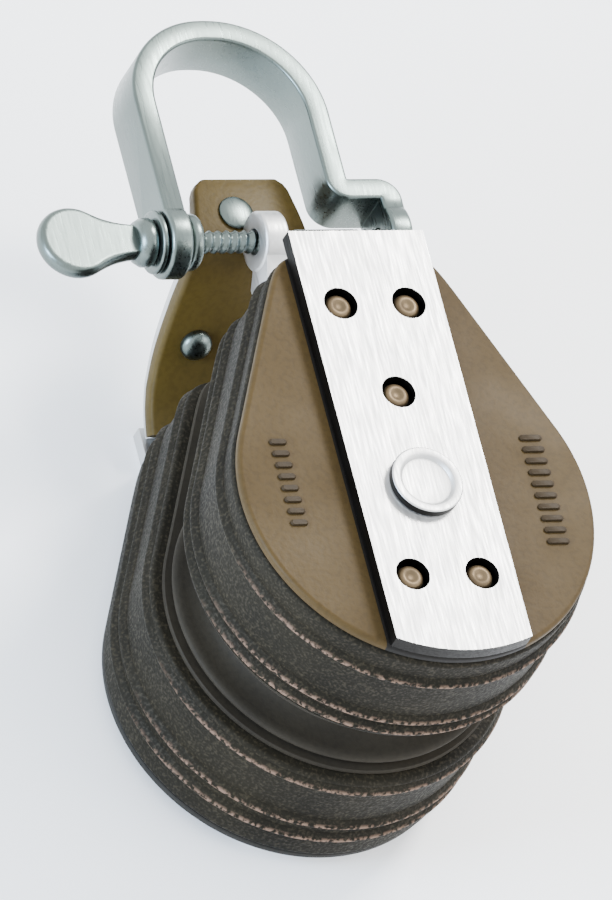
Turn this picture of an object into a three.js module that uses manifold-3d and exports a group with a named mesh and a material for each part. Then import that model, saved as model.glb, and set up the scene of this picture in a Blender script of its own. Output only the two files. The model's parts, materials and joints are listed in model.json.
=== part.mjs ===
// Single-sheave snatch block for boat rigging: an opening front cheek, a fixed rear cheek
// and a bow shackle with a paddle-headed screw pin. Millimetres.
// +X right, +Y towards the shackle, +Z out of the front cheek. The block lies on its rear strap at z = 0.
import * as THREE from 'three';
import { mergeVertices } from 'three/addons/utils/BufferGeometryUtils.js';
import Module from 'manifold-3d';

const wasm = await Module();
wasm.setup();

// Driving dimensions
const GAP = 0.3;                     // running gap between neighbouring pieces
const BODY_R = 36;                   // round end of the cheeks, about the axle
const FLANK = THREE.MathUtils.degToRad(24);  // lean of the cheeks' straight sides
const CHEEK_TOP = 52.4;              // where shells and face plates are cut off
const CORNER_R = 3;
const STRAP_HALF = 13.9;
const STRAP_T = 3;
const STRAP_TOP = 56;                // the front strap's top edge
const REAR_BEND = 59.5;              // where the rear strap's flat part ends and its head bends forward
const STRAP_END_R = 35.7;            // round bottom end of the front strap
const REAR_END_R = 32.5;             // round bottom end of the rear strap
const PLATE_T = 1.8;
const SHELL_T = 26;
const LINER_T = 1;
const SHEAVE_W = 12;
const SHEAVE_R = 33;
const GROOVE_R = 26;
const AXLE_R = 6;
const AXLE_HEAD_R = 7.2;
const AXLE_HEAD_T = 1.8;
const BUSH_R = 9.5;
const WASHER_R = 12;
const WASHER_T = 0.6;
const RIVET_HEAD_R = 2.9;
const RIVET_HOLE_R = 3.4;
const RIVET_SHANK_R = 1.8;
const SHANK_HOLE_R = 2.1;
const RIVETS = [[-7, 39.7], [7, 39.7], [0, 20.3], [-7.1, -19.2], [7.1, -19.2]];
const PIN_Y = 74.6;
const PIN_Z = 45;
const PIN_R = 2.25;
const PIN_HOLE_R = PIN_R + GAP;
const THREAD_DEPTH = 0.5;
const THREAD_PITCH = 1.8;
const EYE_R = 7;
const BAR_T = 4.4;                   // shackle bar thickness, in the bow's plane
const BAR_W = 11.4;                  // shackle bar width, through the bow's plane
const LEFT_EYE_X = -20.1;
const RIGHT_EYE_X = 25.5;
const BOW_X = -2.2;                  // centre of the crown's arc
const BOW_Y = 101.1;
const BOW_R = 19.5;                  // outer radius of the crown
const BOW_INNER_R = BOW_R - BAR_T;
const LEDGE_Y = 85.2;                // top of the right leg's outward jog
const SHOULDER_T = 3.5;
const TONGUE_HALF = 7;               // the front strap's tongue, bent back from its top
const TONGUE_Z = 35;                 // how far back the tongue reaches
const STUD_Z = 41.6;
const STUD_R = 2;
const STUD_HEAD_R = 3.7;
const STUD_HEAD_Y = [48.6, 51];      // the stud's head, just inside the tongue
const SLOT_HALF = 2.7;
const ROUND = 18;                    // sides of small round pieces
const HOLE_SIDES = 10;
const END_STEPS = 30;                // steps round a cheek's round end
const REAR_RIBS = [6.6, 11.2, 23.4];   // rib centres, as depth from the shell's outer face
const FRONT_RIBS = [23.4, 19.8, 6.6];

// Stack of layers, counted up from the rest plane
const STRAP_Z = [0, STRAP_T];
const PLATE_Z = [STRAP_T + GAP, STRAP_T + GAP + PLATE_T];
const SHELL_Z = [PLATE_Z[1] + GAP, PLATE_Z[1] + GAP + SHELL_T];
const LINER_Z = [SHELL_Z[1] + GAP, SHELL_Z[1] + GAP + LINER_T];
const WASHER_Z = [LINER_Z[1] + GAP, LINER_Z[1] + GAP + WASHER_T];
const MID_Z = WASHER_Z[1] + GAP + SHEAVE_W / 2;
const TOTAL_Z = 2 * MID_Z;           // outer face of the front strap
const mirrored = ([low, high]) => [TOTAL_Z - high, TOTAL_Z - low];

// Finishes
const finish = (color, roughness, metalness) => ({ color, roughness, metalness });
const STAINLESS = finish(0xecebe9, 0.28, 0.9);
const POLISHED = finish(0xd8dedb, 0.15, 1.0);
const TAN = finish(0x917c5e, 0.55, 0.0);
const DARK_PLASTIC = finish(0x3f3e39, 0.6, 0.0);
const BLACK_RUBBER = finish(0x46453d, 0.8, 0.0);
const BRONZE = finish(0x9a7a4e, 0.4, 0.7);
const ACETAL = finish(0x22221f, 0.4, 0.0);

// Solids
function solid(geometry) {
  const bare = geometry.index ? geometry.toNonIndexed() : geometry.clone();
  bare.deleteAttribute('normal');
  bare.deleteAttribute('uv');
  const merged = mergeVertices(bare, 1e-4);
  const index = merged.index.array;
  const triangles = [];
  for (let i = 0; i < index.length; i += 3) {
    const [a, b, c] = index.slice(i, i + 3);
    if (a !== b && b !== c && c !== a) triangles.push(a, b, c);
  }
  return new wasm.Manifold(new wasm.Mesh({
    numProp: 3,
    vertProperties: new Float32Array(merged.attributes.position.array),
    triVerts: new Uint32Array(triangles),
  }));
}

function geometryOf(body) {
  const { vertProperties, triVerts } = body.getMesh();
  const geometry = new THREE.BufferGeometry();
  geometry.setAttribute('position', new THREE.BufferAttribute(new Float32Array(vertProperties), 3));
  geometry.setIndex(new THREE.BufferAttribute(new Uint32Array(triVerts), 1));
  geometry.computeVertexNormals();
  return geometry;
}

const union = (first, ...others) => others.reduce((sum, other) => sum.add(other), first);
const cut = (first, ...others) => others.reduce((rest, other) => rest.subtract(other), first);

// A cylinder along Z between two heights
function rod(radius, [low, high], x = 0, y = 0, sides = ROUND) {
  const geometry = new THREE.CylinderGeometry(radius, radius, high - low, sides);
  geometry.rotateX(Math.PI / 2);
  return solid(geometry.translate(x, y, (low + high) / 2));
}

// A cylinder along the shackle pin's axis, between two places in X
function crossRod(radius, [left, right]) {
  const geometry = new THREE.CylinderGeometry(radius, radius, right - left, ROUND);
  geometry.rotateZ(Math.PI / 2);
  return solid(geometry.translate((left + right) / 2, PIN_Y, PIN_Z));
}

// A cylinder along the latch stud's axis, between two places in Y
function uprightRod(radius, [low, high]) {
  const geometry = new THREE.CylinderGeometry(radius, radius, high - low, ROUND);
  return solid(geometry.translate(0, (low + high) / 2, STUD_Z));
}

function block([x0, x1], [y0, y1], [z0, z1]) {
  const geometry = new THREE.BoxGeometry(x1 - x0, y1 - y0, z1 - z0);
  return solid(geometry.translate((x0 + x1) / 2, (y0 + y1) / 2, (z0 + z1) / 2));
}

// An outline in XY, raised between two heights
function prism(points, [low, high]) {
  const shape = new THREE.Shape(points);
  const geometry = new THREE.ExtrudeGeometry(shape, { depth: high - low, bevelEnabled: false });
  return solid(geometry.translate(0, 0, low));
}

// An outline in (y, z), run across X between two places
function crossPrism(points, [left, right]) {
  const shape = new THREE.Shape(points);
  const geometry = new THREE.ExtrudeGeometry(shape, { depth: right - left, bevelEnabled: false });
  geometry.applyMatrix4(new THREE.Matrix4().set(0, 0, 1, left, 1, 0, 0, 0, 0, 1, 0, 0, 0, 0, 0, 1));
  return solid(geometry);
}

// A turned piece whose profile is given as (radius, height), turned about Z
function turned(profile, sides = ROUND) {
  const geometry = new THREE.LatheGeometry(profile.map(([r, z]) => new THREE.Vector2(r, z)), sides);
  return solid(geometry.rotateX(Math.PI / 2));
}

const arc = (x, y, radius, from, to, steps) => Array.from({ length: steps + 1 }, (_, i) => {
  const angle = from + (to - from) * i / steps;
  return new THREE.Vector2(x + radius * Math.cos(angle), y + radius * Math.sin(angle));
});

// The cheeks' teardrop outline, grown by an offset and cut off at a height
function teardrop(offset, top) {
  const radius = BODY_R + offset;
  const cornerY = top - CORNER_R;
  const cornerX = (radius - CORNER_R - cornerY * Math.sin(FLANK)) / Math.cos(FLANK);
  return [
    ...arc(cornerX, cornerY, CORNER_R, FLANK, Math.PI / 2, 2),
    ...arc(-cornerX, cornerY, CORNER_R, Math.PI / 2, Math.PI - FLANK, 2),
    ...arc(0, 0, radius, Math.PI - FLANK, 2 * Math.PI + FLANK, END_STEPS),
  ];
}

// A teardrop body whose side follows levels of [height, offset]
function layered(levels, top) {
  const rings = levels.map(([z, offset]) => teardrop(offset, top).map(p => [p.x, p.y, z]));
  const count = rings[0].length;
  const positions = rings.flat(2);
  const index = [];
  for (let k = 0; k + 1 < rings.length; k += 1) {
    for (let i = 0; i < count; i += 1) {
      const a = k * count + i;
      const b = k * count + (i + 1) % count;
      index.push(a, b, b + count, a, b + count, a + count);
    }
  }
  const last = (rings.length - 1) * count;
  const caps = ring => THREE.ShapeUtils.triangulateShape(ring.map(([x, y]) => new THREE.Vector2(x, y)), []);
  caps(rings[0]).forEach(([a, b, c]) => index.push(a, c, b));
  caps(rings[rings.length - 1]).forEach(([a, b, c]) => index.push(last + a, last + b, last + c));
  const geometry = new THREE.BufferGeometry();
  geometry.setAttribute('position', new THREE.Float32BufferAttribute(positions, 3));
  geometry.setIndex(index);
  return solid(geometry);
}

// Side levels of a shell: a plain wall with raised ribs at the given heights
function ribLevels([low, high], ribs) {
  const edge = 1;
  const crest = 0.9;
  const foot = 1.5;
  const half = 0.7;
  const levels = [[low, -edge], [low + edge, 0]];
  ribs.forEach(z => levels.push([z - foot, 0], [z - half, crest], [z + half, crest], [z + foot, 0]));
  levels.push([high - edge, 0], [high, -edge]);
  return levels;
}

const group = new THREE.Group();
function add(name, body, { color, roughness, metalness }) {
  const material = new THREE.MeshStandardMaterial({ color, roughness, metalness });
  const mesh = new THREE.Mesh(geometryOf(body), material);
  mesh.name = name;
  group.add(mesh);
}

// Cheek layers

const strapOutline = (top, endRadius) => [
  new THREE.Vector2(STRAP_HALF, top),
  new THREE.Vector2(-STRAP_HALF, top),
  ...arc(0, 0, endRadius, Math.PI + Math.acos(STRAP_HALF / endRadius),
    2 * Math.PI - Math.acos(STRAP_HALF / endRadius), 10),
];
const rivetHoles = (radius, span) => RIVETS.map(([x, y]) => rod(radius, span, x, y, HOLE_SIDES));
const past = ([low, high]) => [low - 1, high + 1];
const bored = (body, radius, span) => cut(
  body,
  rod(radius, past(span)),
  ...rivetHoles(SHANK_HOLE_R, past(span)),
);
const shell = (span, ribs) => bored(layered(ribLevels(span, ribs), CHEEK_TOP), BUSH_R + GAP, span);

// A face plate: straight side, bevelled towards its outer face
function facePlate(span, outward) {
  const bevel = 0.8;
  const inset = -0.4;
  const [low, high] = span;
  const levels = outward > 0
    ? [[low, inset], [high - bevel, inset], [high, inset - bevel]]
    : [[low, inset - bevel], [low + bevel, inset], [high, inset]];
  return bored(layered(levels, CHEEK_TOP), BUSH_R + GAP, span);
}

function liner(span) {
  const inset = -2;
  const [low, high] = span;
  return bored(layered([[low, inset], [high, inset]], CHEEK_TOP), AXLE_R + GAP, span);
}

// A rivet through a whole cheek: head in the strap's hole, tail flush with the liner
function rivet(x, y, outward) {
  const tail = LINER_Z[1] - GAP;
  const headBase = STRAP_Z[1] - GAP;
  const headRim = 1.1;
  const headTop = 0.3;
  const profile = [
    [0, tail], [RIVET_SHANK_R, tail], [RIVET_SHANK_R, headBase], [RIVET_HEAD_R, headBase],
    [RIVET_HEAD_R, headRim], [0.75 * RIVET_HEAD_R, (headRim + headTop) / 2], [0, headTop],
  ];
  const placed = outward > 0 ? profile.map(([r, z]) => [r, TOTAL_Z - z]) : profile.reverse();
  return turned(placed, HOLE_SIDES).translate([x, y, 0]);
}

// Head: the rear strap's end and the tan shoulder bend forward to the shackle pin

const TAB_Z = 41;                    // the tab's flat front
const shoulderCurve = new THREE.SplineCurve([
  [54.8, 8.2], [60, 10.8], [66, 17.2], [70.4, 26.5], [73.2, 34.6],
  [76.6, TAB_Z - 1.4], [81, TAB_Z], [91.4, TAB_Z],
].map(([y, z]) => new THREE.Vector2(y, z)));
const SHOULDER_STEPS = 16;

// A point of the shoulder's front surface, moved outward along its normal
function shoulderPoint(t, outward) {
  const { x: y, y: z } = shoulderCurve.getPoint(t);
  const tangent = shoulderCurve.getTangent(t);
  return new THREE.Vector2(y - tangent.y * outward, z + tangent.x * outward);
}

// The band between two distances from the shoulder's front surface
function shoulderBand(outer, inner, halfWidth) {
  const steps = Array.from({ length: SHOULDER_STEPS + 1 }, (_, i) => i / SHOULDER_STEPS);
  const points = [
    ...steps.map(t => shoulderPoint(t, outer)),
    ...steps.map(t => shoulderPoint(1 - t, inner)),
  ];
  return crossPrism(points, [-halfWidth, halfWidth]);
}

// Front view of the head, narrowing to the tab
const ABOVE_HEAD = 60;               // a height clear of the head's front
const headOutline = inset => [
  [14.2, 50], [14.2, 62], [13.2, 72], [10.8, 84], [9.6, 90], [8, 91.2],
].map(([x, y]) => new THREE.Vector2(x - inset, y - inset * 0.5));
function headPrism(inset) {
  const right = headOutline(inset);
  const left = right.map(p => new THREE.Vector2(-p.x, p.y)).reverse();
  return prism([...right, ...left], [0, ABOVE_HEAD]);
}

const DOMES = [-6.8, 6.8];
const DOME_T = 0.335;                // how far along the shoulder the dome rivets sit
const DOME_R = 3.1;
const DOME_H = 2.7;
const DISC = [-2.6, 83.4];
const DISC_R = 3.5;
const TAIL = 6;                      // how far the rivets' shanks reach back from the surface

// A rivet turned about Z, moved onto the shoulder and turned square to it
function domeRivet(x, profile) {
  const { x: y, y: z } = shoulderPoint(DOME_T, 0);
  const tangent = shoulderCurve.getTangent(DOME_T);
  const lean = THREE.MathUtils.radToDeg(Math.atan2(tangent.y, tangent.x));
  return turned(profile, HOLE_SIDES).rotate([lean, 0, 0]).translate([x, y, z]);
}
const domeHole = x => domeRivet(x, [
  [0, -2 * TAIL], [SHANK_HOLE_R, -2 * TAIL], [SHANK_HOLE_R, SHOULDER_T], [0, SHOULDER_T],
]);
const discHole = rod(SHANK_HOLE_R, [TAB_Z - 2 * TAIL, TAB_Z + SHOULDER_T], ...DISC, HOLE_SIDES);

const STRAP_INSET = 1.2;             // how far the strap's edges lie inside the shoulder's
const BEHIND_SHOULDER = -SHOULDER_T - GAP;
const rearStrap = cut(
  union(
    prism(strapOutline(REAR_BEND, REAR_END_R), STRAP_Z),
    shoulderBand(BEHIND_SHOULDER, BEHIND_SHOULDER - STRAP_T, STRAP_HALF).intersect(headPrism(STRAP_INSET)),
  ),
  rod(AXLE_R + GAP, past(STRAP_Z)),
  ...rivetHoles(RIVET_HOLE_R, past(STRAP_Z)),
  ...DOMES.map(domeHole),
  discHole,
);
const shoulder = cut(
  shoulderBand(0, -SHOULDER_T, STRAP_HALF + 1).intersect(headPrism(0)),
  ...DOMES.map(domeHole),
  discHole,
);

// The lug that carries the pin, and the arm down to the latch stud
const LUG_HALF = 2.5;
const LUG_R = 5.8;
const ARM_Y = 60.4;                  // the arm's lower end, above the tongue
const ARM_Z = [STUD_Z - 3.2, STUD_Z + 3.4];
const lugArm = [
  [PIN_Y, PIN_Z - 3], [PIN_Y + 1, PIN_Z + 5], [PIN_Y - 4.6, PIN_Z + 4.5], [64, ARM_Z[1]],
  [ARM_Y, ARM_Z[1]], [ARM_Y, ARM_Z[0]], [68, ARM_Z[0]],
].map(([y, z]) => new THREE.Vector2(y, z));
const headLug = cut(
  union(crossRod(LUG_R, [-LUG_HALF, LUG_HALF]), crossPrism(lugArm.reverse(), [-LUG_HALF, LUG_HALF])),
  crossRod(PIN_HOLE_R, [-LUG_HALF - 1, LUG_HALF + 1]),
  shoulderBand(GAP, -LUG_R - SHOULDER_T, STRAP_HALF),
);
const latchStud = union(
  uprightRod(STUD_R, [STUD_HEAD_Y[1] - 1, ARM_Y - GAP]),
  uprightRod(STUD_HEAD_R, STUD_HEAD_Y),
);

// Rear cheek
add('rear_strap', rearStrap, STAINLESS);
add('rear_face_plate', facePlate(PLATE_Z, -1), DARK_PLASTIC);
const rearRibs = REAR_RIBS.map(depth => SHELL_Z[0] + depth);
add('rear_shell', shell(SHELL_Z, rearRibs), BLACK_RUBBER);
add('rear_liner', liner(LINER_Z), ACETAL);
add('head_shoulder', shoulder, TAN);
add('head_lug', headLug, STAINLESS);
add('latch_stud', latchStud, STAINLESS);
RIVETS.forEach(([x, y], i) => add(`rear_rivet_${i + 1}`, rivet(x, y, -1), BRONZE));
DOMES.forEach((x, i) => {
  const profile = [
    [0, -TAIL], [RIVET_SHANK_R, -TAIL], [RIVET_SHANK_R, GAP], [DOME_R, GAP], [DOME_R, 0.33 * DOME_H],
    [0.8 * DOME_R, 0.7 * DOME_H], [0.45 * DOME_R, 0.93 * DOME_H], [0, DOME_H],
  ];
  add(i ? 'shoulder_dome_rivet_right' : 'shoulder_dome_rivet_left', domeRivet(x, profile), POLISHED);
});
const DISC_TOP = TAB_Z + 1.2;
const discProfile = [
  [0, TAB_Z - TAIL], [RIVET_SHANK_R, TAB_Z - TAIL], [RIVET_SHANK_R, TAB_Z + GAP], [DISC_R, TAB_Z + GAP],
  [DISC_R, DISC_TOP - 0.3], [DISC_R - 0.4, DISC_TOP], [0, DISC_TOP],
];
add('tab_disc_rivet', turned(discProfile).translate([...DISC, 0]), POLISHED);

// Axle, bearing and sheave
const axleTop = TOTAL_Z + GAP + AXLE_HEAD_T;
add('axle', turned([
  [0, 0], [AXLE_R, 0], [AXLE_R, TOTAL_Z + GAP], [AXLE_HEAD_R, TOTAL_Z + GAP], [AXLE_HEAD_R, axleTop - 0.5],
  [AXLE_HEAD_R - 0.5, axleTop], [AXLE_R - 0.6, axleTop], [AXLE_R - 1.2, axleTop - 0.7], [0, axleTop - 0.7],
]), STAINLESS);
const ring = (inner, outer, span) => cut(rod(outer, span), rod(inner, past(span)));
const bushSpan = [PLATE_Z[0], SHELL_Z[1]];
add('rear_spacer', ring(AXLE_R + GAP, BUSH_R, bushSpan), ACETAL);
add('front_pivot_bush', ring(AXLE_R + GAP, BUSH_R, mirrored(bushSpan)), BRONZE);
add('rear_thrust_washer', ring(AXLE_R + GAP, WASHER_R, WASHER_Z), ACETAL);
add('front_thrust_washer', ring(AXLE_R + GAP, WASHER_R, mirrored(WASHER_Z)), ACETAL);
const sheaveSpan = [MID_Z - SHEAVE_W / 2, MID_Z + SHEAVE_W / 2];
add('sheave_bush', ring(AXLE_R + GAP, BUSH_R, sheaveSpan), BRONZE);
const grooveHalf = 4.6;
const sheaveEdge = 0.6;
const grooveSide = arc(0, 0, 1, Math.PI / 2, -Math.PI / 2, 8)
  .map(p => [SHEAVE_R - 0.5 - (SHEAVE_R - GROOVE_R) * p.x, MID_Z - grooveHalf * p.y]);
add('sheave', turned([
  [BUSH_R + GAP, sheaveSpan[0]],
  [SHEAVE_R - sheaveEdge, sheaveSpan[0]], [SHEAVE_R, sheaveSpan[0] + sheaveEdge],
  ...grooveSide,
  [SHEAVE_R, sheaveSpan[1] - sheaveEdge], [SHEAVE_R - sheaveEdge, sheaveSpan[1]],
  [BUSH_R + GAP, sheaveSpan[1]], [BUSH_R + GAP, sheaveSpan[0]],
], 2 * ROUND), ACETAL);

// Front cheek, with the tongue whose side-opening slot hooks the latch stud
const frontStrapZ = mirrored(STRAP_Z);
const tongueSpan = [STRAP_TOP - STRAP_T, STRAP_TOP];
const slot = union(
  uprightRod(SLOT_HALF, past(tongueSpan)),
  block([0, TONGUE_HALF + 1], past(tongueSpan), [STUD_Z - SLOT_HALF, STUD_Z + SLOT_HALF]),
);
const frontStrap = cut(
  union(
    prism(strapOutline(STRAP_TOP, STRAP_END_R), frontStrapZ),
    block([-TONGUE_HALF, TONGUE_HALF], tongueSpan, [TONGUE_Z, TOTAL_Z - 1]),
  ),
  slot,
  rod(AXLE_R + GAP, past(frontStrapZ)),
  ...rivetHoles(RIVET_HOLE_R, past(frontStrapZ)),
);
add('front_strap', frontStrap, STAINLESS);
add('front_face_plate', facePlate(mirrored(PLATE_Z), 1), TAN);
const frontShellZ = mirrored(SHELL_Z);
const frontRibs = FRONT_RIBS.map(depth => frontShellZ[1] - depth);
add('front_shell', shell(frontShellZ, frontRibs), BLACK_RUBBER);
add('front_liner', liner(mirrored(LINER_Z)), ACETAL);
RIVETS.forEach(([x, y], i) => add(`front_rivet_${i + 1}`, rivet(x, y, 1), BRONZE));

// Shackle: a flat bar bent to a bow, with a flared left leg and a jogged right leg
const xs = [LEFT_EYE_X - BAR_T / 2, LEFT_EYE_X + BAR_T / 2, RIGHT_EYE_X - BAR_T / 2, RIGHT_EYE_X + BAR_T / 2];
const flareY = 85;                   // where the left leg starts to lean in to the crown
const flareTurn = Math.PI + 0.2;
const jogR = 2;
const bowOutline = [
  new THREE.Vector2(xs[0], PIN_Y),
  new THREE.Vector2(xs[1], PIN_Y),
  new THREE.Vector2(xs[1], flareY - 0.6),
  ...arc(BOW_X, BOW_Y, BOW_INNER_R, flareTurn, 0, 16),
  new THREE.Vector2(BOW_X + BOW_INNER_R, LEDGE_Y - BAR_T + jogR),
  ...arc(BOW_X + BOW_INNER_R + jogR, LEDGE_Y - BAR_T + jogR, jogR, Math.PI, 1.5 * Math.PI, 3),
  new THREE.Vector2(xs[2], LEDGE_Y - BAR_T),
  new THREE.Vector2(xs[2], PIN_Y),
  new THREE.Vector2(xs[3], PIN_Y),
  ...arc(xs[3] - 2 * jogR, LEDGE_Y - 2 * jogR, 2 * jogR, 0, Math.PI / 2, 4),
  new THREE.Vector2(BOW_X + BOW_R, LEDGE_Y),
  ...arc(BOW_X, BOW_Y, BOW_R, 0, flareTurn, 16),
  new THREE.Vector2(xs[0], flareY),
];
const bowSpan = [PIN_Z - BAR_W / 2, PIN_Z + BAR_W / 2];
const leftEye = [xs[0], xs[1]];
const rightEye = [xs[2], xs[3]];
add('shackle_bow', cut(
  union(prism(bowOutline, bowSpan), crossRod(EYE_R, leftEye), crossRod(EYE_R, rightEye)),
  crossRod(PIN_HOLE_R, past(leftEye)),
  crossRod(PIN_HOLE_R, past(rightEye)),
), POLISHED);
const SPACER_R = 5.6;
const spacerSpan = [xs[1] + 2 * GAP, xs[1] + 2 * GAP + 2.6];
add('pin_spacer', cut(crossRod(SPACER_R, spacerSpan), crossRod(PIN_HOLE_R, past(spacerSpan))), POLISHED);

// Screw pin, turned along X, with a flat teardrop paddle for a head
const pinWasherR = 6;
const pinWasherSpan = [xs[0] - GAP - 1.2, xs[0] - GAP];
const shoulderX = pinWasherSpan[0] - GAP;
const shoulderR = 4.6;
const pinEnd = xs[3] + 1;
const threadEnd = -4;
const pinWasherHole = crossRod(PIN_HOLE_R, past(pinWasherSpan));
add('pin_washer', cut(crossRod(pinWasherR, pinWasherSpan), pinWasherHole), POLISHED);
const ridges = [];
for (let x = spacerSpan[1] + 1; x < threadEnd; x += THREAD_PITCH) {
  ridges.push([PIN_R - THREAD_DEPTH, x], [PIN_R, x + THREAD_PITCH / 2]);
}
const pinProfile = [
  [0, shoulderX - 3], [shoulderR - 0.4, shoulderX - 3], [shoulderR, shoulderX - 1.6], [shoulderR, shoulderX],
  [PIN_R, shoulderX], ...ridges, [PIN_R, pinEnd - 0.8], [PIN_R - 0.8, pinEnd], [0, pinEnd],
];
const PADDLE_R = 7.3;
const PADDLE_L = 23;
const paddleHalfT = 1.7;
const paddleNeckHalf = 3.2;
const paddleNeckX = shoulderX - 1.5;
const paddleLean = 1.1;
const paddleOutline = [
  new THREE.Vector2(paddleNeckX, paddleNeckHalf),
  ...arc(shoulderX - PADDLE_L + PADDLE_R, 0, PADDLE_R, paddleLean, 2 * Math.PI - paddleLean, 14),
  new THREE.Vector2(paddleNeckX, -paddleNeckHalf),
];
const paddle = prism(paddleOutline, [-paddleHalfT, paddleHalfT]).translate([0, PIN_Y, PIN_Z]);
const shaft = turned(pinProfile, ROUND).rotate([0, 90, 0]).translate([0, PIN_Y, PIN_Z]);
add('screw_pin', union(shaft, paddle), POLISHED);

export default group;
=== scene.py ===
"""Looks for the single-sheave snatch block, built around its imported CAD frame."""

import json
import math

import bmesh
import bpy
from mathutils import Matrix, Vector


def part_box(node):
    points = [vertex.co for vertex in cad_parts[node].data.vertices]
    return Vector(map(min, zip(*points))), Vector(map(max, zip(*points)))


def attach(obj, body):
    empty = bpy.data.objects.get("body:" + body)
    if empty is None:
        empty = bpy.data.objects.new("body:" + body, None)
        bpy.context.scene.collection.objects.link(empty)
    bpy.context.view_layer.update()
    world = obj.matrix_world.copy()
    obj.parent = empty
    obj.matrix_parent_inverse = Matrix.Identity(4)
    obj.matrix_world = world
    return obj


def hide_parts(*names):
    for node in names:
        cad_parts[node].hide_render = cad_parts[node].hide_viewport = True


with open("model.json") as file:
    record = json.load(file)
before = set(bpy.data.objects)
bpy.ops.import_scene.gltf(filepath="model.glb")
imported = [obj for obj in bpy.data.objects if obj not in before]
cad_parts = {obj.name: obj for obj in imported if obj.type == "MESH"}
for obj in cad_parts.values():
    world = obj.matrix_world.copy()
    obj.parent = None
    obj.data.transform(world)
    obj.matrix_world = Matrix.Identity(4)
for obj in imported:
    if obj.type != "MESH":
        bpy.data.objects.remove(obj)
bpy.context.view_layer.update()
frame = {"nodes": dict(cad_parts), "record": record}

MM = 0.001
TURN = 2 * math.pi
QUARTER = TURN / 4


def box_mm(node):
    """Lowest and highest corner of a CAD node, in millimetres."""
    low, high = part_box(node)
    return low / MM, high / MM


# Sizes read from the frame, in millimetres
strap_low, strap_high = box_mm("front_strap")
plate_high = box_mm("front_face_plate")[1]
rear_plate_low = box_mm("rear_face_plate")[0]
bow_low, bow_high = box_mm("shackle_bow")
pin_low, pin_high = box_mm("screw_pin")
axle_high = box_mm("axle")[1]
PLATE_INSET = 0.4  # the face plates stand inside the cheeks' outline
BODY_R = plate_high.x + PLATE_INSET
CHEEK_TOP = plate_high.y
STRAP_HALF = strap_high.x
STRAP_TOP = strap_high.y
GAP = 0.3  # running gap between neighbouring pieces
STRAP_T = rear_plate_low.z - GAP
TOTAL_Z = strap_high.z
AXLE_HEAD_R = axle_high.x
EYE_R = 7.0  # outside of the shackle's eyes
PIN_R = 2.25
PIN_HOLE_R = PIN_R + GAP
BAR_T = 4.4  # the bow's flat bar, thickness and width
BAR_W = 11.4
PIN_Y = bow_low.y + EYE_R
PIN_Z = (bow_low.z + bow_high.z) / 2
FLANK = math.radians(24)  # tilt of the cheeks' flanks from upright


def clamped(share):
    """A share held between 0 and 1."""
    return max(0.0, min(1.0, share))


def rivet_places(side):
    """Centres of a cheek's strap rivets."""
    places = []
    for number in range(1, 6):
        low, high = box_mm(f"{side}_rivet_{number}")
        places.append(((low.x + high.x) / 2, (low.y + high.y) / 2))
    return places


# Materials


def new_material(name, colour, roughness, metallic=0.0, specular=0.5):
    """A Principled material, and its nodes, links and shader."""
    material = bpy.data.materials.new(name)
    material.use_nodes = True
    tree = material.node_tree
    shader = tree.nodes["Principled BSDF"]
    shader.inputs["Base Color"].default_value = (*colour, 1)
    shader.inputs["Roughness"].default_value = roughness
    shader.inputs["Metallic"].default_value = metallic
    shader.inputs["Specular IOR Level"].default_value = specular
    return material, tree.nodes, tree.links, shader


def noise(nodes, links, scale, detail=4.0, stretch=(1, 1, 1)):
    """A noise texture in object space, in features per metre."""
    place = nodes.new("ShaderNodeTexCoord")
    mapping = nodes.new("ShaderNodeMapping")
    mapping.inputs["Scale"].default_value = stretch
    texture = nodes.new("ShaderNodeTexNoise")
    texture.inputs["Scale"].default_value = scale
    texture.inputs["Detail"].default_value = detail
    links.new(place.outputs["Object"], mapping.inputs["Vector"])
    links.new(mapping.outputs["Vector"], texture.inputs["Vector"])
    return texture.outputs["Fac"]


def ramp(nodes, links, value, stops):
    """A colour ramp over a value."""
    node = nodes.new("ShaderNodeValToRGB")
    elements = node.color_ramp.elements
    while len(elements) < len(stops):
        elements.new(0.5)
    for element, (position, colour) in zip(elements, stops):
        element.position = position
        element.color = (*colour, 1)
    links.new(value, node.inputs["Fac"])
    return node.outputs["Color"]


def grey(level):
    return (level, level, level)


def shaded(colour, share):
    """A colour at a share of its brightness."""
    return tuple(c * share for c in colour)


def mix(nodes, links, factor, first, second, mode="MIX"):
    """Two colours mixed by a factor."""
    node = nodes.new("ShaderNodeMix")
    node.data_type = "RGBA"
    node.blend_type = mode
    for socket, value in (("Factor", factor), ("A", first), ("B", second)):
        found = [s for s in node.inputs if s.name == socket and s.enabled][0]
        if isinstance(value, (float, tuple)):
            found.default_value = value if isinstance(value, float) else (*value, 1)
        else:
            links.new(value, found)
    return [s for s in node.outputs if s.enabled][0]


def bump(nodes, links, shader, height, distance, strength=1.0):
    """A bump of a height map, of a distance in metres."""
    node = nodes.new("ShaderNodeBump")
    node.inputs["Distance"].default_value = distance
    node.inputs["Strength"].default_value = strength
    links.new(height, node.inputs["Height"])
    links.new(node.outputs["Normal"], shader.inputs["Normal"])


def compare(nodes, links, vector, axis, operation, limit, size=False):
    """1 where one coordinate of a vector, or its size, is above or below a limit."""
    place = nodes.new("ShaderNodeTexCoord")
    split = nodes.new("ShaderNodeSeparateXYZ")
    links.new(place.outputs[vector], split.inputs[0])
    value = split.outputs[axis]
    if size:
        positive = nodes.new("ShaderNodeMath")
        positive.operation = "ABSOLUTE"
        links.new(value, positive.inputs[0])
        value = positive.outputs[0]
    test = nodes.new("ShaderNodeMath")
    test.operation = operation
    test.inputs[1].default_value = limit
    links.new(value, test.inputs[0])
    return test.outputs[0]


def beside_strap(nodes, links, half_width):
    """1 under a strap that runs along Y and 0 clear of it."""
    return compare(nodes, links, "Object", "X", "LESS_THAN", half_width * MM, size=True)


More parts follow.
